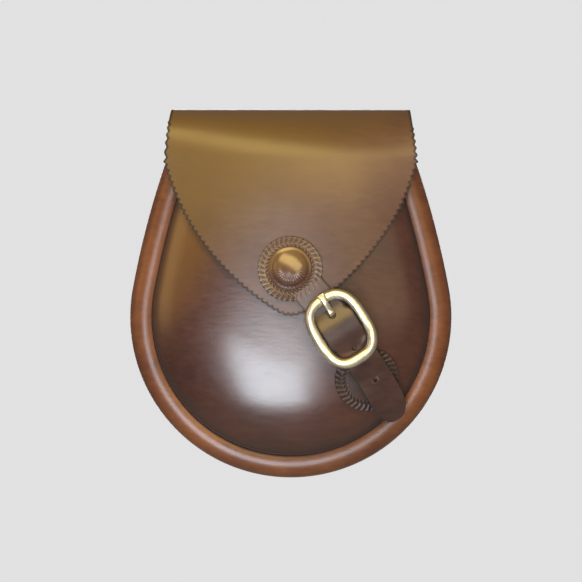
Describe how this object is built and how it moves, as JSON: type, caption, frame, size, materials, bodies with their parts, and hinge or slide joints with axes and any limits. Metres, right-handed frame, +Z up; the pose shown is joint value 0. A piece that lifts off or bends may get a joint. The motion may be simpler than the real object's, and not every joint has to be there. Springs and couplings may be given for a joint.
{
  "type": "leather belt pouch",
  "caption": "Pear-shaped leather belt pouch with a moulded domed front, a rolled rim and a pinked flap held by a strap, rosette and centre-bar buckle.",
  "frame": {"origin": "middle of the belt's seat on the back panel's rear face, level with the middle of the two belt loops", "axes": "+X to the left-hand side of a person who looks at the back, which is the right-hand side as seen from the front; +Y to the rear, towards the wearer; +Z up"},
  "size_m": [0.1866, 0.0635, 0.213],
  "materials": {
    "dark_leather": "glossy dark brown bridle leather, moulded and burnished",
    "tan_leather": "glossy cognac leather, rolled",
    "flap_leather": "glossy brown bridle leather with a golden cast",
    "strap_leather": "brown leather, stamped border on the round end",
    "brass": "polished brass"
  },
  "bodies": {
    "pouch": {"back_panel": "dark_leather", "gusset": "tan_leather", "front_panel": "dark_leather", "buckle_chape": "strap_leather", "left_belt_loop": "dark_leather", "right_belt_loop": "dark_leather", "loop_rivet_1": "brass", "loop_rivet_2": "brass", "loop_rivet_3": "brass", "loop_rivet_4": "brass", "loop_rivet_5": "brass", "loop_rivet_6": "brass", "loop_rivet_7": "brass", "loop_rivet_8": "brass", "loop_washer_1": "brass", "loop_washer_2": "brass", "loop_washer_3": "brass", "loop_washer_4": "brass", "loop_washer_5": "brass", "loop_washer_6": "brass", "loop_washer_7": "brass", "loop_washer_8": "brass"},
    "flap": {"flap": "flap_leather", "closing_strap": "strap_leather", "rosette_cap": "strap_leather", "rosette_stud": "brass", "rosette_washer": "brass"},
    "buckle": {"buckle_frame": "brass"},
    "tongue": {"buckle_tongue": "brass"}
  },
  "joints": [
    {"name": "flap_hinge", "type": "hinge", "parent": "pouch", "child": "flap", "pos_m": [0, -0.0015, 0.0465], "axis": [-1, 0, 0], "range_deg": [0, 160], "deforming": ["closing_strap"]},
    {"name": "buckle_pivot", "type": "hinge", "parent": "pouch", "child": "buckle", "pos_m": [0.0282, -0.04457, -0.07837], "axis": [0.8405, 0.1056, 0.5314], "range_deg": [-5, 5]},
    {"name": "tongue_pivot", "type": "hinge", "parent": "buckle", "child": "tongue", "pos_m": [0.0282, -0.04457, -0.07837], "axis": [0.8405, 0.1056, 0.5314], "range_deg": [0, 80]}
  ],
  "couplings": [
    {"joint": "tongue_pivot", "follows": "flap_hinge", "ratio": 0.5}
  ]
}
